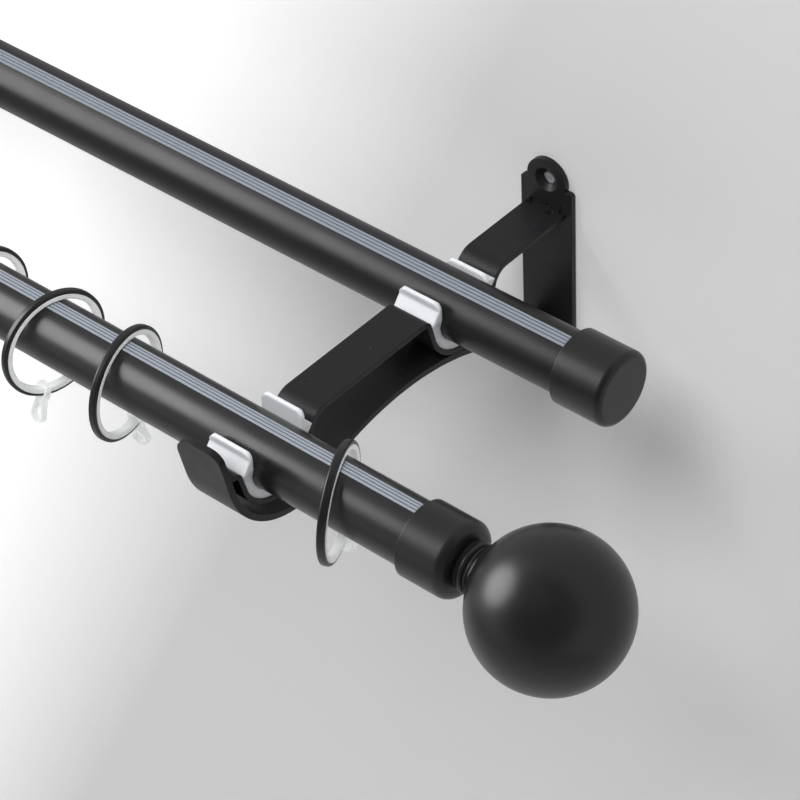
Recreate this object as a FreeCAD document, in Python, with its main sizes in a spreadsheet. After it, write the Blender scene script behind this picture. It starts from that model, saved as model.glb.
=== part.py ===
"""Double curtain pole: two grooved tubes on bent flat-steel wall brackets, with rings, caps and finials."""
import FreeCAD, Part
import os
from math import acos, asin, atan2, cos, degrees, hypot, pi, radians, sin, sqrt, tan

# The frame: X along the poles, +Y into the wall, +Z up. The origin is the middle of the four wall screws,
# on the wall itself. Sizes are millimetres and angles are degrees.
DRIVING_SIZES = {
    # poles: grooved extruded tubes
    "pole_diameter": 28.0,
    "pole_wall": 1.5,
    "bracket_spacing": 818.0,
    "back_overhang": 91.0,
    "front_overhang": 104.0,
    "back_reach": 70.0,
    "pole_spacing": 114.0,
    "back_roll": 9.7,
    "front_roll": -4.4,
    # glide strips and the dovetail grooves that hold them
    "strip_width": 6.1,
    "strip_depth": 1.8,
    "dovetail_flare": 0.4,
    "groove_wall": 1.2,
    "rib_groove_width": 0.6,
    "rib_groove_depth": 0.5,
    "snap_gap": 0.05,
    # wall plates
    "plate_width": 27.2,
    "plate_thickness": 2.5,
    "hole_spacing": 91.0,
    "hole_diameter": 6.0,
    "countersink_diameter": 11.6,
    "countersink_depth": 1.9,
    "ear_radius": 10.2,
    "shoulder_drop": 2.5,
    "shoulder_radius": 1.5,
    "axis_below_hole": 21.5,
    # saddle strips
    "saddle_width": 20.0,
    "saddle_thickness": 2.2,
    "wall_side_bend": 7.8,
    "room_side_bend": 1.8,
    "leg_lean": 14.0,
    "arm_rise": 7.2,
    "span_rise": 7.6,
    "lip_rise": 6.7,
    "seat_gap": 0.15,
    "weld_gap": 0.1,
    # brace strips
    "brace_width": 20.0,
    "brace_thickness": 3.0,
    "tab_flare": 2.0,
    "tab_corner_outer": 5.0,
    "tab_corner_inner": 11.0,
    "tab_rise": 24.8,
    "tab_lean": 12.0,
    "rise_angle": 30.0,
    "crown_back": 17.0,
    "bowl_back_shift": 10.0,
    "bowl_rise": 8.4,
    "bowl_gap": 3.05,
    "flare_run": 34.0,
    # saddle liners
    "liner_wall": 4.2,
    "liner_overlap": 0.7,
    "liner_inset": 0.6,
    "liner_room_rise": 13.0,
    "back_liner_wall_rise": 8.4,
    "front_liner_wall_rise": 13.5,
    "liner_flange": 1.7,
    "liner_bead": 1.1,
    "liner_bead_turn": 20.0,
    "liner_flare": 9.0,
    "back_liner_wall_flare": 6.2,
    "liner_foot": 4.0,
    "liner_taper": 5.0,
    "liner_corner": 4.0,
    # end caps
    "cap_radius": 16.8,
    "cap_length": 25.3,
    "cap_end_wall": 2.3,
    "cap_edge": 3.0,
    "rim_edge": 0.5,
    # finials
    "collar_radius": 16.5,
    "collar_length": 23.5,
    "collar_end_wall": 3.5,
    "collar_edge": 5.0,
    "neck_radius": 9.6,
    "neck_length": 6.0,
    "bead_radius": 11.0,
    "bead_half_width": 1.4,
    "ball_radius": 32.5,
    "ball_ring_radius": 11.4,
    "ball_ring_width": 2.0,
    "ball_inset": 1.5,
    "stud_diameter": 6.0,
    "stud_length": 24.0,
    "stud_gap": 0.1,
    # rings
    "ring_outer_radius": 25.2,
    "ring_bore_radius": 23.6,
    "ring_width": 3.6,
    "ring_round": 1.1,
    "ring_edge": 0.2,
    "ring_liner_wall": 2.3,
    "ring_liner_width": 3.8,
    "ring_liner_round": 0.8,
    "ring_seat_gap": 0.1,
    "ring_hang_gap": 0.35,
    # eyelets
    "eyelet_gap": 0.3,
    "eyelet_wall": 1.0,
    "eyelet_thickness": 2.8,
    "neck_half_width": 2.2,
    "loop_radius": 4.0,
    "loop_wall": 1.1,
    "loop_drop": 8.0,
    "loop_peak": 1.7,
}

# Where each ring hangs: the side of its bracket, the distance outward from the bracket's middle
# (millimetres), the turn about the vertical, the lean along the pole, and how far its eyelet stands from
# the lowest place towards the wall (degrees).
RINGS = {
    "1": (-1, 44.0, -21.0, -2.5, 9.0),
    "2": (-1, -70.0, 9.0, 1.0, -7.0),
    "3": (-1, -114.0, -12.0, -0.8, 12.0),
    "4": (-1, -158.0, 14.0, 1.2, -4.0),
    "5": (1, -161.0, -7.0, 0.0, -10.0),
    "6": (1, -116.2, -9.9, 0.4, -20.0),
    "7": (1, -74.0, 10.6, 1.0, 10.0),
    "8": (1, 41.5, 24.6, 2.9, 18.0),
}
SIDES = {"left": -1, "right": 1}

doc = FreeCAD.newDocument("double_curtain_pole")
sheet = doc.addObject("Spreadsheet::Sheet", "Sizes")
for row, (name, value) in enumerate(DRIVING_SIZES.items(), start=1):
    sheet.set("A%d" % row, name)
    sheet.set("B%d" % row, str(value))
    sheet.setAlias("B%d" % row, name)
doc.recompute()


def size(name):
    """A driving size, read from the sheet."""
    return float(sheet.get(name))


# Sizes that follow from the driving ones.
pole_radius = size("pole_diameter") / 2
back_y = -size("back_reach")
front_y = back_y - size("pole_spacing")
axis_z = size("hole_spacing") / 2 - size("axis_below_hole")
plate_front = -size("plate_thickness")
saddle_bar = size("saddle_thickness")
brace_bar = size("brace_thickness")
liner_inside = pole_radius + size("seat_gap")
liner_outside = liner_inside + size("liner_wall")
saddle_inside = liner_outside + size("seat_gap")
crown_forward = size("pole_spacing") / 2 - size("crown_back")
groove_depth = size("strip_depth") + size("snap_gap")
socket_radius = pole_radius + size("seat_gap")
stud_bore = size("stud_diameter") / 2 + size("stud_gap")
ring_inside = size("ring_bore_radius") - size("ring_seat_gap") - size("ring_liner_wall")

BRACKET_X = "(Sizes.bracket_spacing / 2)"
AXIS_Z = "(Sizes.hole_spacing / 2 - Sizes.axis_below_hole)"
BACK_Y = "(-Sizes.back_reach)"
FRONT_Y = "(-Sizes.back_reach - Sizes.pole_spacing)"


def flat(x, y):
    return FreeCAD.Vector(x, y, 0)


def polar(centre, radius, angle):
    """A point on a circle in a sketch plane."""
    return flat(centre[0] + radius * cos(radians(angle)), centre[1] + radius * sin(radians(angle)))


def line(first, last):
    return Part.LineSegment(first, last)


def arc(centre, radius, first, last):
    """An arc from one angle to another; it runs clockwise where the last is the smaller."""
    ends = [polar(centre, radius, angle) for angle in (first, (first + last) / 2, last)]
    return Part.Arc(*ends)


def circle(centre, radius):
    return Part.Circle(flat(*centre), FreeCAD.Vector(0, 0, 1), radius)


def chain(points):
    """Lines that join points in a closed loop."""
    return [line(a, b) for a, b in zip(points, points[1:] + points[:1])]


def new_body(label):
    body = doc.addObject("PartDesign::Body", label)
    body.Label = label
    return body


def sketch_on(body, plane, edges, name):
    """A sketch on one of the body's own origin planes."""
    sketch = body.newObject("Sketcher::SketchObject", name)
    origin = [item for item in body.Origin.OriginFeatures if item.Role == plane][0]
    sketch.AttachmentSupport = [(origin, "")]
    sketch.MapMode = "FlatFace"
    sketch.addGeometry(edges, False)
    return sketch


def pad(body, sketch, length, side="Symmetric"):
    """A pad whose length is an expression on the sheet."""
    feature = body.newObject("PartDesign::Pad", "Pad")
    feature.Profile = sketch
    feature.SideType = side
    feature.setExpression("Length", length)
    body.Tip = feature
    doc.recompute()
    return feature


def pocket(body, sketch, length, side="Symmetric"):
    """A pocket that must take material away."""
    before = body.Shape.Volume
    feature = body.newObject("PartDesign::Pocket", "Pocket")
    feature.Profile = sketch
    feature.SideType = side
    feature.setExpression("Length", length)
    body.Tip = feature
    doc.recompute()
    if not body.Shape.Volume < before - 1e-3:
        raise ValueError("the pocket in %s cuts nothing" % body.Label)
    return feature


def revolve(body, sketch):
    """A full turn about the sketch's own horizontal axis, which is the body's X axis."""
    feature = body.newObject("PartDesign::Revolution", "Revolution")
    feature.Profile = sketch
    feature.ReferenceAxis = (sketch, ["H_Axis"])
    feature.Angle = 360.0
    body.Tip = feature
    doc.recompute()
    return feature


def edge_names(body, chosen):
    return ["Edge%d" % n for n, edge in enumerate(body.Shape.Edges, start=1) if chosen(edge)]


def fillet(body, radius, chosen):
    """A fillet on the edges of the body's present shape that a test picks."""
    names = edge_names(body, chosen)
    base = body.Tip
    feature = body.newObject("PartDesign::Fillet", "Fillet")
    feature.Base = (base, names)
    feature.setExpression("Radius", radius)
    body.Tip = feature
    doc.recompute()
    return feature


def place(body, x="0", y="0", z="0", rotation=None):
    """Puts a body where expressions on the sheet say."""
    if rotation is not None:
        body.Placement = FreeCAD.Placement(FreeCAD.Vector(), rotation)
    body.setExpression("Placement.Base.x", x)
    body.setExpression("Placement.Base.y", y)
    body.setExpression("Placement.Base.z", z)
    return body


def about_x(angle):
    return FreeCAD.Rotation(FreeCAD.Vector(1, 0, 0), angle)


def facing(sign):
    """End pieces are modelled for the right end and turned round for the left one."""
    return FreeCAD.Rotation(FreeCAD.Vector(0, 0, 1), 0 if sign > 0 else 180)


# Poles: a tube with a dovetail groove along its top, and the ribbed strip that fills the groove.
def pole_section():
    """The tube's outline with the groove in it, and its bore with the groove's walls standing in it."""
    top = size("strip_width") / 2 + size("snap_gap")
    foot = top + size("dovetail_flare")
    floor = pole_radius - groove_depth
    mouth = degrees(acos(top / pole_radius))
    outer = [
        arc((0, 0), pole_radius, 180 - mouth, 360 + mouth),
        line(polar((0, 0), pole_radius, mouth), flat(foot, floor)),
        line(flat(foot, floor), flat(-foot, floor)),
        line(flat(-foot, floor), polar((0, 0), pole_radius, 180 - mouth)),
    ]
    bore = pole_radius - size("pole_wall")
    shoulder = foot + size("groove_wall")
    ceiling = floor - size("groove_wall")
    corner = degrees(acos(shoulder / bore))
    inner = [
        arc((0, 0), bore, 180 - corner, 360 + corner),
        line(polar((0, 0), bore, corner), flat(shoulder, ceiling)),
        line(flat(shoulder, ceiling), flat(-shoulder, ceiling)),
        line(flat(-shoulder, ceiling), polar((0, 0), bore, 180 - corner)),
    ]
    return outer + inner


def glide_strip_section():
    """A dovetail whose top is flush with the tube and has three grooves between four ribs."""
    half = size("strip_width") / 2
    foot = half + size("dovetail_flare")
    floor = pole_radius - groove_depth + size("snap_gap")
    groove = size("rib_groove_width")
    rib = (2 * half - 3 * groove) / 4
    points = [flat(-foot, floor)]
    left = -half
    for number in range(4):
        if number > 0:
            for x in (left, left + groove):
                points.append(flat(x, sqrt(pole_radius ** 2 - x ** 2) - size("rib_groove_depth")))
            left += groove
        for x in (left, left + rib):
            points.append(flat(x, sqrt(pole_radius ** 2 - x ** 2)))
        left += rib
    points.append(flat(foot, floor))
    return chain(points)


def build_pole(name, y, roll):
    length = "Sizes.bracket_spacing + 2 * Sizes.%s_overhang" % name
    tube = new_body(name + "_pole")
    pad(tube, sketch_on(tube, "YZ_Plane", pole_section(), "TubeSection"), length)
    strip = new_body(name + "_glide_strip")
    pad(strip, sketch_on(strip, "YZ_Plane", glide_strip_section(), "StripSection"), length)
    return [place(body, "0", y, AXIS_Z, about_x(roll)) for body in (tube, strip)]


# Wall plates: a flat bar with a narrower rounded ear and a countersunk hole at each end.
def plate_outline():
    half = size("plate_width") / 2
    hole = size("hole_spacing") / 2
    shoulder = hole - size("shoulder_drop")
    meet = sqrt(size("ear_radius") ** 2 - size("shoulder_drop") ** 2)
    dip = degrees(asin(size("shoulder_drop") / size("ear_radius")))
    edges = []
    for sign in (1, -1):
        edges += [
            line(flat(sign * half, -sign * shoulder), flat(sign * half, sign * shoulder)),
            line(flat(-half, sign * shoulder), flat(-meet, sign * shoulder)),
            line(flat(meet, sign * shoulder), flat(half, sign * shoulder)),
            arc((0, sign * hole), size("ear_radius"), -sign * dip, sign * (180 + dip)),
        ]
    return edges


def countersink(body):
    """Chamfers the holes' front edges to the countersink's diameter and depth."""
    rim = 2 * pi * size("hole_diameter") / 2
    rims = edge_names(body, lambda e: abs(e.Length - rim) < 1e-2 and abs(e.BoundBox.YMax - plate_front) < 1e-3
                      and abs(e.BoundBox.YMin - plate_front) < 1e-3)
    base = body.Tip
    feature = body.newObject("PartDesign::Chamfer", "Countersink")
    feature.Base = (base, rims)
    feature.ChamferType = "Two distances"
    feature.setExpression("Size", "(Sizes.countersink_diameter - Sizes.hole_diameter) / 2")
    feature.setExpression("Size2", "Sizes.countersink_depth")
    body.Tip = feature
    doc.recompute()
    wide = size("countersink_diameter") / 2
    if not [e for e in body.Shape.Edges if hasattr(e.Curve, "Radius") and abs(e.Curve.Radius - wide) < 1e-3]:
        feature.FlipDirection = True
        doc.recompute()


def build_wall_plate(side):
    body = new_body("wall_plate_" + side)
    pad(body, sketch_on(body, "XZ_Plane", plate_outline(), "Outline"), "Sizes.plate_thickness", "One side")
    hole = size("hole_spacing") / 2
    bores = [circle((0, sign * hole), size("hole_diameter") / 2) for sign in (1, -1)]
    pocket(body, sketch_on(body, "XZ_Plane", bores, "Holes"), "3 * Sizes.plate_thickness")
    shoulder = hole - size("shoulder_drop")
    fillet(body, "Sizes.shoulder_radius", lambda e: abs(e.Length - size("plate_thickness")) < 1e-3
           and abs(abs(e.CenterOfMass.x) - size("plate_width") / 2) < 1e-3
           and abs(abs(e.CenterOfMass.z) - shoulder) < 1e-3)
    countersink(body)
    return place(body, "%d * %s" % (SIDES[side], BRACKET_X))


# Bent bars: flat steel seen from its side, in the plane of Y and Z.
def bent_bar(start, heading, steps, bar):
    """The closed outline of a bar bent along its length; the bar lies on the left of its path.

    A step is ("run", length) or ("bend", inside radius, turn); a turn to the left is positive.
    """
    def side():
        return flat(-sin(radians(heading)), cos(radians(heading)))

    point = flat(*start)
    path = [line(point, point + side() * bar)]
    for kind, *amounts in steps:
        if kind == "run":
            end = point + flat(cos(radians(heading)), sin(radians(heading))) * amounts[0]
            path += [line(point, end), line(point + side() * bar, end + side() * bar)]
            point = end
        else:
            inside, turn = amounts
            sign = 1 if turn > 0 else -1
            near = inside + bar if sign > 0 else inside
            centre = point + side() * (sign * near)
            first = heading - 90 * sign
            path += [arc((centre.x, centre.y), near, first, first + turn)]
            path += [arc((centre.x, centre.y), near - sign * bar, first, first + turn)]
            point = polar((centre.x, centre.y), near, first + turn)
            heading += turn
    return path + [line(point, point + side() * bar)]


def bowl():
    """The brace's bowl under the front saddle: its middle and the radius of its upper face."""
    middle = (front_y + size("bowl_back_shift"), axis_z + size("bowl_rise"))
    offset = hypot(size("bowl_back_shift"), size("bowl_rise"))
    return middle, saddle_inside + saddle_bar + size("bowl_gap") + offset


def arch():
    """The brace's arch, which carries the back saddle and runs smoothly into the bowl.

    Its crown stands a little behind the middle between the poles. The radius of its upper face is found by
    halving, because it has to touch both the saddle and the bowl.
    """
    (bowl_y, bowl_z), bowl_radius = bowl()
    under_saddle = saddle_inside + saddle_bar + size("weld_gap")
    y = back_y - crown_forward
    low, high = crown_forward, 20 * size("pole_spacing")
    for _ in range(80):
        radius = (low + high) / 2
        z = axis_z - sqrt((radius + under_saddle) ** 2 - crown_forward ** 2)
        if hypot(y - bowl_y, bowl_z - z) > radius + bowl_radius:
            low = radius
        else:
            high = radius
    return (y, z), radius


def hook_face(z):
    """The Y at which the hook's inner face stands at a height."""
    (bowl_y, bowl_z), radius = bowl()
    lean = radians(size("tab_lean"))
    bend_end = bowl_z - radius * sin(lean)
    if z < bend_end:
        return bowl_y - sqrt(radius ** 2 - (z - bowl_z) ** 2)
    return bowl_y - radius * cos(lean) - (z - bend_end) * tan(lean)


# Saddle strips: arm, back saddle, span, front saddle and lip, from the plate to the hook.
def leg(rise, bend):
    """A saddle's leaning leg under a bend: its length, and how far from the pole's axis the bend ends."""
    lean = radians(size("leg_lean"))
    outside = size(bend) + saddle_bar
    length = (size(rise) - outside + (outside + saddle_inside) * sin(lean)) / cos(lean)
    return length, (outside + saddle_inside) * cos(lean) + length * sin(lean)


def saddle_profile():
    arm_leg, arm_reach = leg("arm_rise", "wall_side_bend")
    span_leg, span_reach = leg("span_rise", "room_side_bend")
    front_leg, front_reach = leg("span_rise", "wall_side_bend")
    lip_leg, lip_reach = leg("lip_rise", "room_side_bend")
    lip_start = front_y - lip_reach
    lip = lip_start - hook_face(axis_z + size("lip_rise") - saddle_bar) - size("weld_gap")
    corner = 90 - size("leg_lean")
    down = ("bend", size("wall_side_bend"), corner)
    under = ("bend", saddle_inside, -2 * corner)
    over = ("bend", size("room_side_bend"), corner)
    steps = [
        ("run", size("back_reach") - size("plate_thickness") - arm_reach),
        down,
        ("run", arm_leg),
        under,
        ("run", span_leg),
        over,
        ("run", size("pole_spacing") - span_reach - front_reach),
        down,
        ("run", front_leg),
        under,
        ("run", lip_leg),
        over,
        ("run", lip),
    ]
    return bent_bar((plate_front, axis_z + size("arm_rise")), 180, steps, saddle_bar)


def build_saddle_strip(side):
    body = new_body("saddle_strip_" + side)
    pad(body, sketch_on(body, "YZ_Plane", saddle_profile(), "Bends"), "Sizes.saddle_width")
    return place(body, "%d * %s" % (SIDES[side], BRACKET_X))


# Brace strips: a straight foot on the plate, the arch, the bowl and the leaning hook with its tab.
def brace_profile():
    (arch_y, arch_z), arch_radius = arch()
    (bowl_y, bowl_z), bowl_radius = bowl()
    rise = radians(size("rise_angle"))
    fall = degrees(atan2(arch_y - bowl_y, bowl_z - arch_z))
    lean = radians(size("tab_lean"))
    foot_y = arch_y + arch_radius * sin(rise)
    foot_z = arch_z + arch_radius * cos(rise)
    foot_run = (plate_front - foot_y) / cos(rise)
    tab_run = (size("tab_rise") + bowl_radius * sin(lean) - size("bowl_rise")) / cos(lean)
    steps = [
        ("run", foot_run),
        ("bend", arch_radius - brace_bar, size("rise_angle") + fall),
        ("bend", bowl_radius, size("tab_lean") - 90 - fall),
        ("run", tab_run),
    ]
    start = (plate_front, foot_z - foot_run * sin(rise))
    path = bent_bar(start, 180 - size("rise_angle"), steps, brace_bar)
    bevel = flat(plate_front, start[1] - brace_bar / cos(rise))
    path[0] = line(flat(*start), bevel)
    path[2] = line(bevel, path[2].EndPoint)
    return path


def build_brace(side):
    body = new_body("brace_" + side)
    full_width = "Sizes.brace_width + 2 * Sizes.tab_flare"
    pad(body, sketch_on(body, "YZ_Plane", brace_profile(), "Bends"), full_width)
    narrow = size("brace_width") / 2
    wide = narrow + size("tab_flare")
    flare_end = bowl()[0][0]
    flare_start = flare_end + size("flare_run")
    waste = []
    for sign in (1, -1):
        beyond = wide + 1
        corners = ((narrow, 1), (narrow, flare_start), (wide, flare_end), (beyond, flare_end), (beyond, 1))
        waste += chain([flat(sign * x, y) for x, y in corners])
    pocket(body, sketch_on(body, "XY_Plane", waste, "Waist"), "8 * Sizes.hole_spacing")
    tip = axis_z + size("tab_rise")
    for corner, sign in (("tab_corner_outer", 1), ("tab_corner_inner", -1)):
        fillet(body, "Sizes." + corner, lambda e: abs(e.Length - brace_bar) < 1e-3
               and abs(e.CenterOfMass.z - tip) < brace_bar and abs(e.CenterOfMass.x - sign * wide) < 1e-3)
    return place(body, "%d * %s" % (SIDES[side], BRACKET_X))


# Saddle liners: moulded U shells between a pole and its saddle, with a beaded flange on each side.
def liner_outline(wall_rise, wall_flare):
    """The section; each foot follows the saddle's leg and each flange stands up beside the pole."""
    lean = radians(size("leg_lean"))
    bead = size("liner_bead")
    flange = size("liner_flange")
    edges = [arc((0, 0), liner_inside, 180, 360)]
    edges += [arc((0, 0), liner_outside, 180 + size("leg_lean"), 360 - size("leg_lean"))]
    for sign, rise, flare in ((1, wall_rise, wall_flare), (-1, size("liner_room_rise"), size("liner_flare"))):
        along = (size("liner_foot") + liner_outside * sin(lean)) / cos(lean)
        foot = liner_outside * cos(lean) + along * sin(lean)
        middle = (sign * (liner_inside + bead), rise - bead)
        first = 90 - sign * (90 + size("liner_bead_turn"))
        outline = [flat(sign * liner_outside * cos(lean), -liner_outside * sin(lean)),
                   flat(sign * foot, size("liner_foot")),
                   flat(sign * (liner_inside + flange), flare),
                   polar(middle, bead, first)]
        edges += [line(a, b) for a, b in zip(outline, outline[1:])]
        edges += [arc(middle, bead, first, 90 + sign * 90)]
        edges += [line(flat(sign * liner_inside, rise - bead), flat(sign * liner_inside, 0))]
    return edges


def head_waste(rise):
    """What a flange loses at its corners and below its head, seen along Y."""
    edge = size("saddle_width") / 2 + size("liner_overlap")
    waist = size("saddle_width") / 2 - size("liner_inset")
    radius = size("liner_corner")
    foot = size("liner_foot")
    beyond = edge + 1
    low = -liner_outside - 1
    waste = []
    for sign in (1, -1):
        outline = [flat(sign * (edge - radius), rise), flat(sign * (edge - radius), rise + 1),
                   flat(sign * beyond, rise + 1), flat(sign * beyond, rise - radius),
                   flat(sign * edge, rise - radius)]
        waste += [line(a, b) for a, b in zip(outline, outline[1:])]
        waste += [arc((sign * (edge - radius), rise - radius), radius, 90 - 90 * sign, 90)]
        waste += chain([flat(sign * waist, low), flat(sign * beyond, low), flat(sign * beyond, foot),
                        flat(sign * edge, foot), flat(sign * waist, foot - size("liner_taper"))])
    return waste


def build_liner(name, side, y):
    body = new_body("%s_liner_%s" % (name, side))
    length = "Sizes.saddle_width + 2 * Sizes.liner_overlap"
    wall_rise = size(name + "_liner_wall_rise")
    wall_flare = size("back_liner_wall_flare" if name == "back" else "liner_flare")
    outline = liner_outline(wall_rise, wall_flare)
    pad(body, sketch_on(body, "YZ_Plane", outline, "Section"), length)
    for title, rise, reverse in (("RoomHead", size("liner_room_rise"), True), ("WallHead", wall_rise, False)):
        cut = pocket(body, sketch_on(body, "XZ_Plane", head_waste(rise), title), "2 * Sizes.pole_diameter",
                     "One side")
        cut.Reversed = reverse
        doc.recompute()
    return place(body, "%d * %s" % (SIDES[side], BRACKET_X), y, AXIS_Z)


# End pieces: turned shapes; their X runs outward and starts at the pole's end.
def shell_profile(radius, length, end_wall, edge):
    """The side and end of a cup over the pole's end, from its rim to where its end face starts."""
    rim = end_wall - length
    small = size("rim_edge")
    return [
        line(flat(0, socket_radius), flat(rim, socket_radius)),
        line(flat(rim, socket_radius), flat(rim, radius - small)),
        line(flat(rim, radius - small), flat(rim + small, radius)),
        line(flat(rim + small, radius), flat(end_wall - edge, radius)),
        arc((end_wall - edge, radius - edge), edge, 90, 0),
    ]


def build_cap(side):
    body = new_body("end_cap_" + side)
    end = size("cap_end_wall")
    edges = shell_profile(size("cap_radius"), size("cap_length"), end, size("cap_edge"))
    edges += [
        line(flat(end, size("cap_radius") - size("cap_edge")), flat(end, 0)),
        line(flat(end, 0), flat(0, 0)),
        line(flat(0, 0), flat(0, socket_radius)),
    ]
    revolve(body, sketch_on(body, "XY_Plane", edges, "Profile"))
    x = "%d * (%s + Sizes.back_overhang)" % (SIDES[side], BRACKET_X)
    return place(body, x, BACK_Y, AXIS_Z, facing(SIDES[side]))


def build_finial(side):
    collar = new_body("finial_collar_" + side)
    end = size("collar_end_wall")
    neck_end = end + size("neck_length")
    neck = size("neck_radius")
    bead_height = size("bead_radius") - neck
    bead_middle = (end + neck_end) / 2
    edges = shell_profile(size("collar_radius"), size("collar_length"), end, size("collar_edge"))
    outline = [flat(end, size("collar_radius") - size("collar_edge")), flat(end, neck),
               flat(bead_middle - size("bead_half_width"), neck)]
    edges += [line(a, b) for a, b in zip(outline, outline[1:])]
    edges += [Part.Arc(outline[-1], flat(bead_middle, neck + bead_height),
                       flat(bead_middle + size("bead_half_width"), neck))]
    outline = [flat(bead_middle + size("bead_half_width"), neck), flat(neck_end, neck),
               flat(neck_end, stud_bore), flat(0, stud_bore), flat(0, socket_radius)]
    edges += [line(a, b) for a, b in zip(outline, outline[1:])]
    revolve(collar, sketch_on(collar, "XY_Plane", edges, "Profile"))

    ball = new_body("finial_ball_" + side)
    ring_end = neck_end + size("ball_ring_width")
    bead = size("ball_ring_width") / 2
    ball_radius = size("ball_radius")
    ball_middle = ring_end - size("ball_inset") + ball_radius
    start_angle = 180 - degrees(acos((ball_middle - ring_end) / ball_radius))
    bore_end = size("stud_length") + size("stud_gap")
    brow = size("ball_ring_radius") - bead
    edges = [
        line(flat(neck_end, stud_bore), flat(neck_end, brow)),
        arc((neck_end + bead, brow), bead, 180, 0),
        line(flat(ring_end, brow), polar((ball_middle, 0), ball_radius, start_angle)),
        arc((ball_middle, 0), ball_radius, start_angle, 0),
        line(flat(ball_middle + ball_radius, 0), flat(bore_end, 0)),
        line(flat(bore_end, 0), flat(bore_end, stud_bore)),
        line(flat(bore_end, stud_bore), flat(neck_end, stud_bore)),
    ]
    revolve(ball, sketch_on(ball, "XY_Plane", edges, "Profile"))

    stud = new_body("finial_stud_" + side)
    disc = [circle((0, 0), size("stud_diameter") / 2)]
    pad(stud, sketch_on(stud, "YZ_Plane", disc, "Section"), "Sizes.stud_length", "One side")
    x = "%d * (%s + Sizes.front_overhang)" % (SIDES[side], BRACKET_X)
    return [place(body, x, FRONT_Y, AXIS_Z, facing(SIDES[side])) for body in (collar, ball, stud)]


# Rings: a thin metal ring, the thicker liner in it that glides on the pole, and the hanging eyelet.
def ring_section():
    """A flat band with rounded outer edges; the sketch's horizontal axis is the ring's own."""
    half = size("ring_width") / 2
    outer = size("ring_outer_radius")
    bore = size("ring_bore_radius")
    radius = size("ring_round")
    brow = outer - radius
    edge = size("ring_edge")
    return [
        line(flat(radius - half, outer), flat(half - radius, outer)),
        arc((half - radius, brow), radius, 90, 0),
        line(flat(half, brow), flat(half, bore + edge)),
        line(flat(half, bore + edge), flat(half - edge, bore)),
        line(flat(half - edge, bore), flat(edge - half, bore)),
        line(flat(edge - half, bore), flat(-half, bore + edge)),
        line(flat(-half, bore + edge), flat(-half, brow)),
        arc((radius - half, brow), radius, 180, 90),
    ]


def ring_liner_section():
    """A band with rounded inner edges."""
    half = size("ring_liner_width") / 2
    outside = size("ring_bore_radius") - size("ring_seat_gap")
    radius = size("ring_liner_round")
    brow = ring_inside + radius
    return [
        line(flat(-half, outside), flat(half, outside)),
        line(flat(half, outside), flat(half, brow)),
        arc((half - radius, brow), radius, 0, -90),
        line(flat(half - radius, ring_inside), flat(radius - half, ring_inside)),
        arc((radius - half, brow), radius, 270, 180),
        line(flat(-half, brow), flat(-half, outside)),
    ]


def ring_spin(turn, lean):
    return FreeCAD.Rotation(FreeCAD.Vector(0, 0, 1), turn) * FreeCAD.Rotation(FreeCAD.Vector(0, 1, 0), lean)


def hang_drop(spin):
    """How far a ring's middle hangs under the pole's axis.

    The upper half of both of the liner's inner rims has to clear the pole by the hanging gap.
    """
    reach = pole_radius + size("ring_hang_gap")
    half = size("ring_liner_width") / 2
    drops = []
    for angle in range(181):
        for x in (-half, half):
            y, z = ring_inside * cos(radians(angle)), ring_inside * sin(radians(angle))
            rim = spin.multVec(FreeCAD.Vector(x, y, z))
            if abs(rim.y) < reach:
                drops.append(rim.z - sqrt(reach ** 2 - rim.y ** 2))
    return min(drops)


def eyelet_outline():
    """A window round the ring's band with a drop-shaped loop under it, in the plane of the ring's axis."""
    gap = size("eyelet_gap")
    wall = size("eyelet_wall")
    window_half = size("ring_liner_width") / 2 + gap
    window_top = gap - ring_inside
    window_foot = -size("ring_outer_radius") - gap
    half = window_half + wall
    top = window_top + wall
    foot = window_foot - wall
    neck = size("neck_half_width")
    middle = foot - size("loop_drop")
    radius = size("loop_radius")
    bevel = wall / 2
    reach = hypot(neck, foot - middle)
    touch = degrees(atan2(foot - middle, neck)) - degrees(acos(radius / reach))
    outline = [polar((0, middle), radius, touch), flat(neck, foot), flat(half - bevel, foot),
               flat(half, foot + bevel), flat(half, top - bevel), flat(half - bevel, top)]
    outline += [flat(-p.x, p.y) for p in reversed(outline)]
    edges = [line(a, b) for a, b in zip(outline, outline[1:])]
    edges += [arc((0, middle), radius, touch, -180 - touch)]
    edges += chain([flat(-window_half, window_foot), flat(window_half, window_foot),
                    flat(window_half, window_top), flat(-window_half, window_top)])
    hole = radius - size("loop_wall")
    peak = flat(0, foot - size("loop_peak"))
    hole_touch = 90 - degrees(acos(hole / (peak.y - middle)))
    edges += [
        arc((0, middle), hole, hole_touch, -180 - hole_touch),
        line(polar((0, middle), hole, hole_touch), peak),
        line(peak, polar((0, middle), hole, 180 - hole_touch)),
    ]
    return edges


def build_ring(number):
    sign, outward, turn, lean, swing = RINGS[number]
    shell = new_body("ring_%s" % number)
    revolve(shell, sketch_on(shell, "XY_Plane", ring_section(), "Section"))
    liner = new_body("ring_liner_%s" % number)
    revolve(liner, sketch_on(liner, "XY_Plane", ring_liner_section(), "Section"))
    eyelet = new_body("ring_eyelet_%s" % number)
    pad(eyelet, sketch_on(eyelet, "XZ_Plane", eyelet_outline(), "Outline"), "Sizes.eyelet_thickness")
    spin = ring_spin(turn, lean)
    x = "%d * (%s + %.1f)" % (sign, BRACKET_X, outward)
    z = "%s - %.4f" % (AXIS_Z, hang_drop(spin))
    turns = ((shell, spin), (liner, spin), (eyelet, spin * about_x(swing)))
    return [place(body, x, FRONT_Y, z, rotation) for body, rotation in turns]


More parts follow.
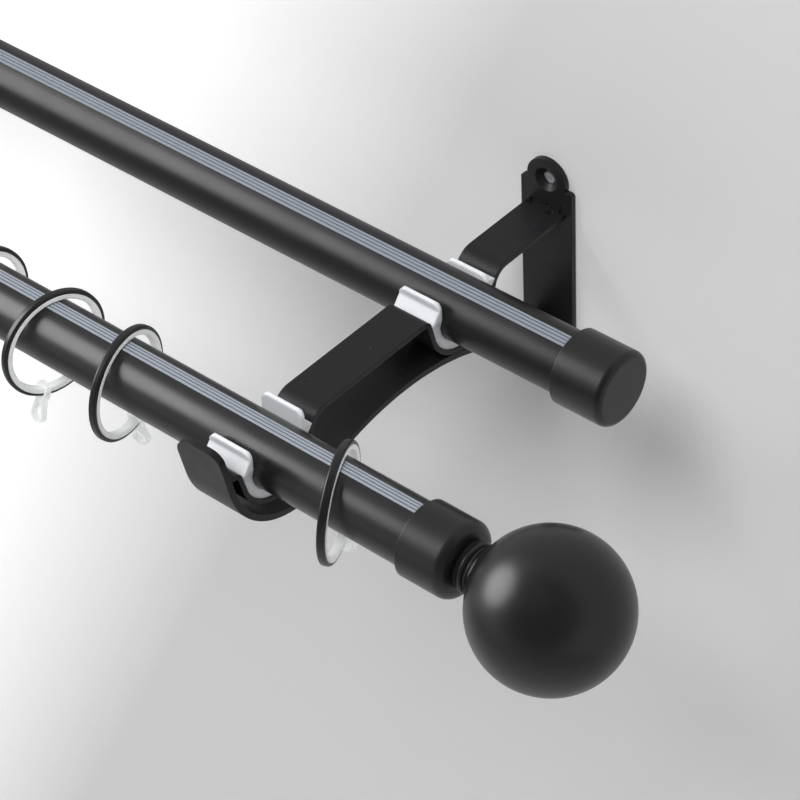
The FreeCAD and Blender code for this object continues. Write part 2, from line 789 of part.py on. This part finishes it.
bodies = []
bodies += build_pole("back", BACK_Y, size("back_roll"))
bodies += build_pole("front", FRONT_Y, size("front_roll"))
for side in SIDES:
    bodies += [build_wall_plate(side), build_saddle_strip(side), build_brace(side)]
    bodies += [build_liner("back", side, BACK_Y), build_liner("front", side, FRONT_Y)]
    bodies += [build_cap(side)]
    bodies += build_finial(side)
for number in RINGS:
    bodies += build_ring(number)
doc.recompute()

for item in doc.Objects:
    if "Invalid" in item.State or "Error" in item.State:
        raise ValueError("%s didn't build" % item.Label)
os.makedirs("parts", exist_ok=True)
for body in bodies:
    if body.Shape.isNull() or not body.Shape.isValid() or len(body.Shape.Solids) != 1:
        raise ValueError("%s isn't one sound solid" % body.Label)
    body.Shape.exportStep("parts/%s.step" % body.Label)
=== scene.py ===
"""Looks of the double curtain pole: black tubes and brackets, nylon liners and clear eyelets."""

import bmesh
import bpy
from mathutils import Matrix, Vector

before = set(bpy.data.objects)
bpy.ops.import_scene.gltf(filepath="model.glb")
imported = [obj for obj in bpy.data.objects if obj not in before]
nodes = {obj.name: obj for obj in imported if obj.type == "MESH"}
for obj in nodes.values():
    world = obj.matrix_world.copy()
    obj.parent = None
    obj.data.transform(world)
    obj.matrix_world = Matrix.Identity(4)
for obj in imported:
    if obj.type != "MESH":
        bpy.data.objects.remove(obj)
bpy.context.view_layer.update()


# Wall plates, saddle strips and braces: flat bar steel, punched, countersunk, bent, powder coated.
# The coat flows round the cut edges, so they catch a thin line of light. It has a peel of about
# 0.8 mm, uneven gloss, a few rubbed specks, and dark weld spots along the joint of arm and plate.
cut_edge = 0.0005
arm_joint_y, arm_joint_z = -0.0045, 0.0318
weld_core, weld_reach = 0.0015, 0.0055


def linear(code):
    """A colour given as sRGB hex, as the linear value that a shader takes."""
    parts = [int(code[n:n + 2], 16) / 255 for n in (1, 3, 5)]
    light = [c / 12.92 if c <= 0.04045 else ((c + 0.055) / 1.055) ** 2.4 for c in parts]
    return (*light, 1.0)


def node(material, kind, **values):
    """A shader node with its settings, and its inputs set or linked by name or number."""
    made = material.node_tree.nodes.new("ShaderNode" + kind)
    for name, value in values.pop("settings", {}).items():
        setattr(made, name, value)
    for name, value in values.items():
        by_number = name[1:].isdigit()
        socket = made.inputs[int(name[1:])] if by_number else made.inputs[name.replace("_", " ")]
        if isinstance(value, bpy.types.NodeSocket):
            material.node_tree.links.new(value, socket)
        else:
            socket.default_value = value
    return made


def finish_named(title):
    """A material named for the real one, its shader and its object coordinates."""
    material = bpy.data.materials.new(title)
    material.use_nodes = True
    place = node(material, "TexCoord").outputs["Object"]
    return material, material.node_tree.nodes["Principled BSDF"], place


def feed(material, output, socket):
    """Links an output to a socket."""
    material.node_tree.links.new(output, socket)


def dress(names, material):
    """Gives CAD nodes their material."""
    for name in names:
        nodes[name].data.materials.clear()
        nodes[name].data.materials.append(material)


bracket_steel, surface, place = finish_named("Black powder coat on flat steel")
eased = node(bracket_steel, "Bevel", Radius=cut_edge, settings={"samples": 6})
peel = node(bracket_steel, "TexNoise", Vector=place, Scale=1300.0, Detail=3.0, Roughness=0.55)
relief = node(bracket_steel, "Bump", Height=peel.outputs["Fac"], Normal=eased.outputs["Normal"],
              Strength=0.3, Distance=0.0001)
patch = node(bracket_steel, "TexNoise", Vector=place, Scale=70.0, Detail=5.0, Roughness=0.6)
gloss = node(bracket_steel, "MapRange", Value=patch.outputs["Fac"], From_Min=0.3, From_Max=0.7,
             To_Min=0.34, To_Max=0.46)
specks = node(bracket_steel, "TexNoise", Vector=place, Scale=420.0, Detail=2.0)
rubbed = node(bracket_steel, "ValToRGB", Fac=specks.outputs["Fac"])
rubbed.color_ramp.elements[0].position = 0.72
rubbed.color_ramp.elements[0].color = linear("#19191b")
rubbed.color_ramp.elements[1].position = 0.82
rubbed.color_ramp.elements[1].color = linear("#3e3e40")
joint = node(bracket_steel, "Mapping", Vector=place, Location=(0.0, -arm_joint_y, -arm_joint_z),
             Scale=(0.0, 1.0, 1.0))
reach = node(bracket_steel, "VectorMath", _0=joint.outputs["Vector"],
             settings={"operation": "LENGTH"})
near = node(bracket_steel, "MapRange", Value=reach.outputs["Value"], From_Min=weld_core,
            From_Max=weld_reach, To_Min=0.16, To_Max=0.0)
spatter = node(bracket_steel, "TexNoise", Vector=place, Scale=330.0, Detail=1.0)
spots = node(bracket_steel, "Math", _0=spatter.outputs["Fac"], _1=near.outputs["Result"],
             settings={"operation": "ADD"})
weld = node(bracket_steel, "MapRange", Value=spots.outputs["Value"], From_Min=0.76, From_Max=0.80)
sunk = node(bracket_steel, "Bump", Height=weld.outputs["Result"], Normal=relief.outputs["Normal"],
            Strength=0.9, Distance=0.0006, settings={"invert": True})
coat = node(bracket_steel, "MixRGB", Fac=weld.outputs["Result"], Color1=rubbed.outputs["Color"],
            Color2=linear("#0b0b0c"))
feed(bracket_steel, coat.outputs["Color"], surface.inputs["Base Color"])
feed(bracket_steel, gloss.outputs["Result"], surface.inputs["Roughness"])
feed(bracket_steel, sunk.outputs["Normal"], surface.inputs["Normal"])
surface.inputs["IOR"].default_value = 1.5
surface.inputs["Specular IOR Level"].default_value = 0.27
dress([name for name in nodes if name.startswith(("wall_plate", "saddle_strip", "brace"))],
      bracket_steel)

# Saddle liners: white nylon, injection moulded, with a satin skin that lets a little light into it.
# The mould leaves a grain, drawn coarse at about 1.3 mm so that it shows, and faint waves in the
# flanges. A small glow stands in for light that the real plastic scatters.
moulded_edge = 0.0016
nylon, surface, place = finish_named("White moulded nylon")
eased = node(nylon, "Bevel", Radius=moulded_edge, settings={"samples": 10})
grain = node(nylon, "TexNoise", Vector=place, Scale=800.0, Detail=2.0)
waves = node(nylon, "TexNoise", Vector=place, Scale=120.0, Detail=1.0)
relief = node(nylon, "Bump", Height=grain.outputs["Fac"], Normal=eased.outputs["Normal"],
              Strength=0.2, Distance=0.00006)
swell = node(nylon, "Bump", Height=waves.outputs["Fac"], Normal=relief.outputs["Normal"],
             Strength=0.25, Distance=0.0003)
tint = node(nylon, "ValToRGB", Fac=waves.outputs["Fac"])
tint.color_ramp.elements[0].color = linear("#cbcdd1")
tint.color_ramp.elements[1].color = linear("#d7d8db")
feed(nylon, tint.outputs["Color"], surface.inputs["Base Color"])
feed(nylon, swell.outputs["Normal"], surface.inputs["Normal"])
surface.inputs["Roughness"].default_value = 0.36
surface.inputs["IOR"].default_value = 1.53
surface.inputs["Subsurface Weight"].default_value = 0.5
surface.inputs["Subsurface Radius"].default_value = (1.0, 1.0, 1.0)
surface.inputs["Subsurface Scale"].default_value = 0.0025
surface.inputs["Emission Color"].default_value = linear("#f2f3f5")
surface.inputs["Emission Strength"].default_value = 0.07
dress([name for name in nodes if name.startswith(("front_liner", "back_liner"))], nylon)

# Poles: extruded aluminium tubes under a satin black coat. The extrusion leaves faint straight
# lines along the tube, drawn a quarter to half a millimetre apart, coarse enough to show. Both
# tubes have one coat; the back tube's copy has less shine and a little more roughness: painted
# shade.
line_start = 0.37
for name, least, most, shine in (
    ("front_pole", 0.26, 0.33, 0.54),
    # Back tube: less shine, so a dimmer highlight, as painted shade.
    ("back_pole", 0.31, 0.39, 0.36),
):
    title = "Satin black coated aluminium of the %s" % name.replace("_", " ")
    tube_coat, surface, place = finish_named(title)
    drawn = node(tube_coat, "Mapping", Vector=place, Location=(line_start, 0.0, 0.0),
                 Scale=(1.2, 1800.0, 1800.0))
    lines = node(tube_coat, "TexNoise", Vector=drawn.outputs["Vector"], Scale=1.0, Detail=1.0,
                 Roughness=0.6)
    relief = node(tube_coat, "Bump", Height=lines.outputs["Fac"], Strength=0.12, Distance=0.00004)
    patch = node(tube_coat, "TexNoise", Vector=place, Scale=45.0, Detail=5.0, Roughness=0.65)
    gloss = node(tube_coat, "MapRange", Value=patch.outputs["Fac"], From_Min=0.3, From_Max=0.7,
                 To_Min=least, To_Max=most)
    feed(tube_coat, relief.outputs["Normal"], surface.inputs["Normal"])
    feed(tube_coat, gloss.outputs["Result"], surface.inputs["Roughness"])
    surface.inputs["Base Color"].default_value = linear("#171718")
    surface.inputs["IOR"].default_value = 1.5
    surface.inputs["Specular IOR Level"].default_value = shine
    dress([name], tube_coat)

# Glide strips: silver-grey plastic, extruded with four smooth ribs, pushed into the grooves of the
# tubes. The grooves between the ribs are painted darker, as painted shade. How far a spot lies
# from the axis of its pole tells the two apart.
pole_axis_z = 0.024
front_axis_y, back_axis_y = -0.184, -0.070
groove_floor, rib_top = 0.0135, 0.0139
for name, axis_y, rib in (
    ("front_glide_strip", front_axis_y, "#8c929b"),
    ("back_glide_strip", back_axis_y, "#838993"),
):
    title = "Silver-grey extruded plastic on the %s" % name.split("_")[0]
    silver, surface, place = finish_named(title)
    centred = node(silver, "Mapping", Vector=place, Location=(0.0, -axis_y, -pole_axis_z),
                   Scale=(0.0, 1.0, 1.0))
    height = node(silver, "VectorMath", _0=centred.outputs["Vector"],
                  settings={"operation": "LENGTH"})
    # Painted shade: darker towards the groove floor.
    depth = node(silver, "MapRange", Value=height.outputs["Value"], From_Min=groove_floor,
                 From_Max=rib_top)
    shade = node(silver, "ValToRGB", Fac=depth.outputs["Result"])
    shade.color_ramp.elements[0].color = linear("#6a6f7a")
    shade.color_ramp.elements[1].color = linear(rib)
    drawn = node(silver, "Mapping", Vector=place, Location=(line_start, 0.0, 0.0),
                 Scale=(1.2, 1500.0, 1500.0))
    lines = node(silver, "TexNoise", Vector=drawn.outputs["Vector"], Scale=1.0, Detail=1.0)
    relief = node(silver, "Bump", Height=lines.outputs["Fac"], Strength=0.2, Distance=0.00004)
    feed(silver, shade.outputs["Color"], surface.inputs["Base Color"])
    feed(silver, relief.outputs["Normal"], surface.inputs["Normal"])
    surface.inputs["Roughness"].default_value = 0.18
    dress([name], silver)

# End caps, finial collars and balls: turned metal under satin black lacquer, smoother than the
# brackets, with a soft, even gloss, a very fine peel and a little lint. A ball's normals point
# straight out from its centre, because the mesh's pole would show as a dark speck.
ball_radius, ball_skin = 0.0325, 0.0002
turned_edge = 0.0004
for title, parts, side in (
    ("caps and collars", ("end_cap", "finial_collar"), 0),
    ("left ball", ("finial_ball_left",), -1),
    ("right ball", ("finial_ball_right",), 1),
):
    lacquer, surface, place = finish_named("Satin black lacquer on turned metal, %s" % title)
    if side:
        far = max(side * v.co.x for v in nodes[parts[0]].data.vertices) - ball_radius
        spoke = node(lacquer, "VectorMath", _0=place, _1=(side * far, front_axis_y, pole_axis_z),
                     settings={"operation": "SUBTRACT"})
        length = node(lacquer, "VectorMath", _0=spoke.outputs["Vector"],
                      settings={"operation": "LENGTH"})
        skin = node(lacquer, "Math", _0=length.outputs["Value"], _1=ball_radius - ball_skin,
                    settings={"operation": "GREATER_THAN"})
        round_out = node(lacquer, "VectorMath", _0=spoke.outputs["Vector"],
                         settings={"operation": "NORMALIZE"})
        meshed = node(lacquer, "NewGeometry").outputs["Normal"]
        turned = node(lacquer, "Mix", _0=skin.outputs["Value"], _4=meshed,
                      _5=round_out.outputs["Vector"], settings={"data_type": "VECTOR"})
        outward = turned.outputs[1]
    else:
        eased = node(lacquer, "Bevel", Radius=turned_edge, settings={"samples": 6})
        outward = eased.outputs["Normal"]
    peel = node(lacquer, "TexNoise", Vector=place, Scale=700.0, Detail=2.0)
    relief = node(lacquer, "Bump", Height=peel.outputs["Fac"], Normal=outward, Strength=0.12,
                  Distance=0.00006)
    patch = node(lacquer, "TexNoise", Vector=place, Scale=60.0, Detail=4.0)
    gloss = node(lacquer, "MapRange", Value=patch.outputs["Fac"], From_Min=0.3, From_Max=0.7,
                 To_Min=0.29, To_Max=0.35)
    lint = node(lacquer, "TexVoronoi", Vector=place, Scale=260.0)
    fleck = node(lacquer, "ValToRGB", Fac=lint.outputs["Distance"])
    fleck.color_ramp.elements[0].position = 0.03
    fleck.color_ramp.elements[0].color = linear("#303032")
    fleck.color_ramp.elements[1].position = 0.06
    fleck.color_ramp.elements[1].color = linear("#171718")
    feed(lacquer, fleck.outputs["Color"], surface.inputs["Base Color"])
    feed(lacquer, gloss.outputs["Result"], surface.inputs["Roughness"])
    feed(lacquer, relief.outputs["Normal"], surface.inputs["Normal"])
    surface.inputs["IOR"].default_value = 1.5
    dress([name for name in nodes if name.startswith(parts)], lacquer)

# Finial studs: zinc-plated threaded rod, hidden between collar and ball. The thread is drawn as
# rings about 2 mm apart along the rod, coarser than a real one, in relief only.
zinc, surface, place = finish_named("Zinc-plated steel stud")
thread = node(zinc, "TexWave", Vector=place, Scale=160.0, settings={"bands_direction": "X"})
relief = node(zinc, "Bump", Height=thread.outputs["Fac"], Strength=0.6, Distance=0.0003)
feed(zinc, relief.outputs["Normal"], surface.inputs["Normal"])
surface.inputs["Base Color"].default_value = linear("#b8b9bb")
surface.inputs["Metallic"].default_value = 1.0
surface.inputs["Roughness"].default_value = 0.3
dress(["finial_stud_left", "finial_stud_right"], zinc)

# Curtain rings: thin bands of black lacquered metal, glossier than the brackets. Sliding has rubbed
# the lacquer paler in small spots of about 2 mm, and the edges are slightly rounded.
band_edge = 0.0003
ring_enamel, surface, place = finish_named("Black lacquered ring")
eased = node(ring_enamel, "Bevel", Radius=band_edge, settings={"samples": 6})
rub = node(ring_enamel, "TexNoise", Vector=place, Scale=500.0, Detail=4.0, Roughness=0.65)
relief = node(ring_enamel, "Bump", Height=rub.outputs["Fac"], Normal=eased.outputs["Normal"],
              Strength=0.2, Distance=0.00006)
wear = node(ring_enamel, "ValToRGB", Fac=rub.outputs["Fac"])
wear.color_ramp.elements[0].position = 0.62
wear.color_ramp.elements[0].color = linear("#161617")
wear.color_ramp.elements[1].position = 0.80
wear.color_ramp.elements[1].color = linear("#3a3a3b")
feed(ring_enamel, wear.outputs["Color"], surface.inputs["Base Color"])
feed(ring_enamel, relief.outputs["Normal"], surface.inputs["Normal"])
surface.inputs["Roughness"].default_value = 0.3
dress([name for name in nodes if name.startswith("ring_") and name[5:].isdigit()], ring_enamel)

# Ring liners: milky plastic bands pressed into the rings, so that they glide quietly on the tube.
# Light passes a little way into them, and a small glow stands in for what the plastic scatters, so
# they look faintly bright beside the black shells.
milky, surface, place = finish_named("Milky glide plastic")
haze = node(milky, "TexNoise", Vector=place, Scale=160.0, Detail=3.0)
cloud = node(milky, "ValToRGB", Fac=haze.outputs["Fac"])
cloud.color_ramp.elements[0].color = linear("#f0f2f1")
cloud.color_ramp.elements[1].color = linear("#fbfcfb")
relief = node(milky, "Bump", Height=haze.outputs["Fac"], Strength=0.2, Distance=0.0002)
feed(milky, cloud.outputs["Color"], surface.inputs["Base Color"])
feed(milky, relief.outputs["Normal"], surface.inputs["Normal"])
surface.inputs["Roughness"].default_value = 0.28
surface.inputs["IOR"].default_value = 1.5
surface.inputs["Transmission Weight"].default_value = 0.15
surface.inputs["Emission Color"].default_value = linear("#f4f6f5")
surface.inputs["Emission Strength"].default_value = 0.12
surface.inputs["Subsurface Weight"].default_value = 0.3
surface.inputs["Subsurface Radius"].default_value = (1.0, 1.0, 1.0)
surface.inputs["Subsurface Scale"].default_value = 0.002
dress([name for name in nodes if name.startswith("ring_liner")], milky)

# Eyelets: clear moulded plastic that has gone slightly milky, free to swing on the ring. The
# moulding's flow leaves faint streaks and a soft haze that gathers light, drawn as a small glow.
eyelet_plastic, surface, place = finish_named("Milky clear moulded plastic")
flow = node(eyelet_plastic, "TexNoise", Vector=place, Scale=220.0, Detail=3.0)
haze = node(eyelet_plastic, "MapRange", Value=flow.outputs["Fac"], From_Min=0.3, From_Max=0.7,
            To_Min=0.28, To_Max=0.42)
relief = node(eyelet_plastic, "Bump", Height=flow.outputs["Fac"], Strength=0.25, Distance=0.0002)
feed(eyelet_plastic, haze.outputs["Result"], surface.inputs["Roughness"])
feed(eyelet_plastic, relief.outputs["Normal"], surface.inputs["Normal"])
surface.inputs["Base Color"].default_value = linear("#f2f4f4")
surface.inputs["IOR"].default_value = 1.49
surface.inputs["Transmission Weight"].default_value = 0.7
surface.inputs["Emission Color"].default_value = linear("#fafbfb")
surface.inputs["Emission Strength"].default_value = 0.12
dress([name for name in nodes if name.startswith("ring_eyelet")], eyelet_plastic)

# Stage: a painted wall behind the plates, seen only from the room. It glows to white at the upper
# left, stays pale grey at the lower right, lifts a little again below the poles, and keeps the
# shadows thrown on it. Gloss mirrors it as one even grey.
wall_y, wall_top, floor_z = 0.0005, 1.6, -1.3
white_way, white_offset = (-1.272, 0.0, 0.631), 0.429
lift_from_z, lift_to_z = -0.10, -0.28


def sheet_object(name, corners, paint):
    """A flat sheet with its paint, linked into the scene."""
    drawn = bmesh.new()
    drawn.faces.new([drawn.verts.new(corner) for corner in corners])
    made = bpy.data.objects.new(name, bpy.data.meshes.new(name))
    drawn.to_mesh(made.data)
    drawn.free()
    made.data.materials.append(paint)
    bpy.context.collection.objects.link(made)


wall_paint, surface, place = finish_named("Pale wall paint")
roller = node(wall_paint, "TexNoise", Vector=place, Scale=300.0, Detail=3.0)
relief = node(wall_paint, "Bump", Height=roller.outputs["Fac"], Strength=0.05, Distance=0.0002)
feed(wall_paint, relief.outputs["Normal"], surface.inputs["Normal"])
surface.inputs["Base Color"].default_value = linear("#dfdfe0")
surface.inputs["Roughness"].default_value = 0.7
fall = node(wall_paint, "VectorMath", _0=place, _1=white_way,
            settings={"operation": "DOT_PRODUCT"})
tone = node(wall_paint, "Math", _0=fall.outputs["Value"], _1=white_offset,
            settings={"operation": "ADD", "use_clamp": True})
whitening = node(wall_paint, "MapRange", Value=tone.outputs["Value"], From_Min=0.0, From_Max=0.25,
                 To_Min=0.055, To_Max=0.62)
height = node(wall_paint, "SeparateXYZ", Vector=place).outputs["Z"]
lift = node(wall_paint, "MapRange", Value=height, From_Min=lift_from_z, From_Max=lift_to_z,
            To_Min=0.0, To_Max=0.09)
glow_sum = node(wall_paint, "Math", _0=whitening.outputs["Result"], _1=lift.outputs["Result"],
                settings={"operation": "ADD"})
glow = node(wall_paint, "Emission", Color=(1.0, 1.0, 1.0, 1.0), Strength=glow_sum.outputs["Value"])
lit = node(wall_paint, "AddShader")
feed(wall_paint, surface.outputs["BSDF"], lit.inputs[0])
feed(wall_paint, glow.outputs["Emission"], lit.inputs[1])
rays = node(wall_paint, "LightPath")
even_grey = node(wall_paint, "Emission", Color=(1.0, 1.0, 1.0, 1.0), Strength=0.5)
front = node(wall_paint, "MixShader", Fac=rays.outputs["Is Glossy Ray"])
feed(wall_paint, lit.outputs["Shader"], front.inputs[1])
feed(wall_paint, even_grey.outputs["Emission"], front.inputs[2])
behind = node(wall_paint, "NewGeometry").outputs["Backfacing"]
sides = node(wall_paint, "MixShader", Fac=behind)
feed(wall_paint, front.outputs["Shader"], sides.inputs[1])
feed(wall_paint, node(wall_paint, "BsdfTransparent").outputs["BSDF"], sides.inputs[2])
wall_output = wall_paint.node_tree.nodes["Material Output"]
feed(wall_paint, sides.outputs["Shader"], wall_output.inputs["Surface"])
sheet_object("wall", [(-3, wall_y, floor_z), (3, wall_y, floor_z), (3, wall_y, wall_top),
                      (-3, wall_y, wall_top)], wall_paint)

# Wall seen through the screw holes: a small mottled grey patch behind each hole, painted shade for
# the plate's shade on the wall under it. The patches lie between plates and wall.
hole_x, hole_z = 0.409, 0.0455
patch_y, half_patch = 0.0003, 0.005
shaded_paint, surface, place = finish_named("Wall paint in the plate's shade")
shade_mottle = node(shaded_paint, "TexNoise", Vector=place, Scale=260.0, Detail=4.0)
uneven = node(shaded_paint, "ValToRGB", Fac=shade_mottle.outputs["Fac"])
uneven.color_ramp.elements[0].position = 0.35
uneven.color_ramp.elements[0].color = linear("#77777a")
uneven.color_ramp.elements[1].position = 0.65
uneven.color_ramp.elements[1].color = linear("#b2b2b4")
feed(shaded_paint, uneven.outputs["Color"], surface.inputs["Base Color"])
surface.inputs["Roughness"].default_value = 0.7
holes = ((-hole_x, -hole_z), (-hole_x, hole_z), (hole_x, -hole_z), (hole_x, hole_z))
for n, (x, z) in enumerate(holes):
    sheet_object("wall_in_shade_%d" % n, [
        (x - half_patch, patch_y, z - half_patch), (x + half_patch, patch_y, z - half_patch),
        (x + half_patch, patch_y, z + half_patch), (x - half_patch, patch_y, z + half_patch),
    ], shaded_paint)

# Floor: a pale, slightly stained floor 1.3 m below the part, where the wall ends. It closes the
# stage from below for views that look down past the poles.
floor_paint, surface, place = finish_named("Pale floor")
patch = node(floor_paint, "TexNoise", Vector=place, Scale=6.0, Detail=4.0)
stain = node(floor_paint, "ValToRGB", Fac=patch.outputs["Fac"])
stain.color_ramp.elements[0].color = linear("#d6d6d8")
stain.color_ramp.elements[1].color = linear("#dededf")
feed(floor_paint, stain.outputs["Color"], surface.inputs["Base Color"])
surface.inputs["Roughness"].default_value = 0.7
sheet_object("floor", [(-4, -4, floor_z), (4, -4, floor_z), (4, 4, floor_z), (-4, 4, floor_z)],
             floor_paint)

# Light: a large soft lamp, high in front and to the right, lights the part and isn't mirrored. A
# weak lamp from the left throws the side shadow, and a round card on the left shows
# only as a highlight. The surround is pale, with a dark side up in front for the lacquer to mirror.
for name, spot, aim, width, power, mirrored in (
    ("key", (0.75, -1.50, 2.40), (0.35, -0.07, -0.2), 1.3, 74.0, False),
    ("spot", (-0.635, -1.005, 1.254), (0.45, -0.07, 0.0), 0.40, 4.0, False),
    ("card", (-1.00, -0.95, 0.85), (0.50, -0.18, 0.0), 1.45, 34.0, True),
):
    lamp = bpy.data.lights.new(name, "AREA")
    lamp.shape = "DISK"
    lamp.size = width
    lamp.energy = power
    holder = bpy.data.objects.new(name, lamp)
    holder.location = spot
    holder.visible_glossy = mirrored
    holder.visible_diffuse = not mirrored
    holder.rotation_euler = (Vector(aim) - Vector(spot)).to_track_quat("-Z", "Y").to_euler()
    bpy.context.collection.objects.link(holder)
dark_way = (0.262, -0.719, 0.644)
world = bpy.data.worlds.new("surround")
world.use_nodes = True
way = node(world, "TexCoord").outputs["Generated"]
aside = node(world, "VectorMath", _0=way, _1=dark_way, settings={"operation": "DOT_PRODUCT"})
tent = node(world, "MapRange", Value=aside.outputs["Value"], From_Min=0.40, From_Max=0.76,
            To_Min=0.65, To_Max=0.12)
glossy_ray = node(world, "LightPath").outputs["Is Glossy Ray"]
level = node(world, "MapRange", Value=glossy_ray, To_Min=0.48, To_Max=1.0)
strength = node(world, "Math", _0=tent.outputs["Result"], _1=level.outputs["Result"],
                settings={"operation": "MULTIPLY"})
background = world.node_tree.nodes["Background"]
background.inputs["Color"].default_value = (1.0, 1.0, 1.0, 1.0)
feed(world, strength.outputs["Value"], background.inputs["Strength"])
bpy.context.scene.world = world

# Camera: its place, turn and lens were fitted to the photograph's straight edges, which are those
# of both tubes, the plate and the span. It looks down at the right-hand bracket.
eye = (1.0628, -0.8088, 0.8392)
camera = bpy.data.objects.new("camera", bpy.data.cameras.new("camera"))
camera.data.lens = 139.06
camera.data.sensor_width = 36.0
camera.data.clip_end = 20.0
right = Vector((0.7587, 0.6501, -0.0421)).normalized()
ahead = Vector((-0.5090, 0.5513, -0.6611)).normalized()
up = right.cross(ahead).normalized()
turn = Matrix((right, up, -ahead)).transposed().to_4x4()
camera.matrix_world = Matrix.Translation(eye) @ turn
bpy.context.collection.objects.link(camera)
bpy.context.scene.camera = camera
bpy.context.scene.view_settings.view_transform = "Standard"
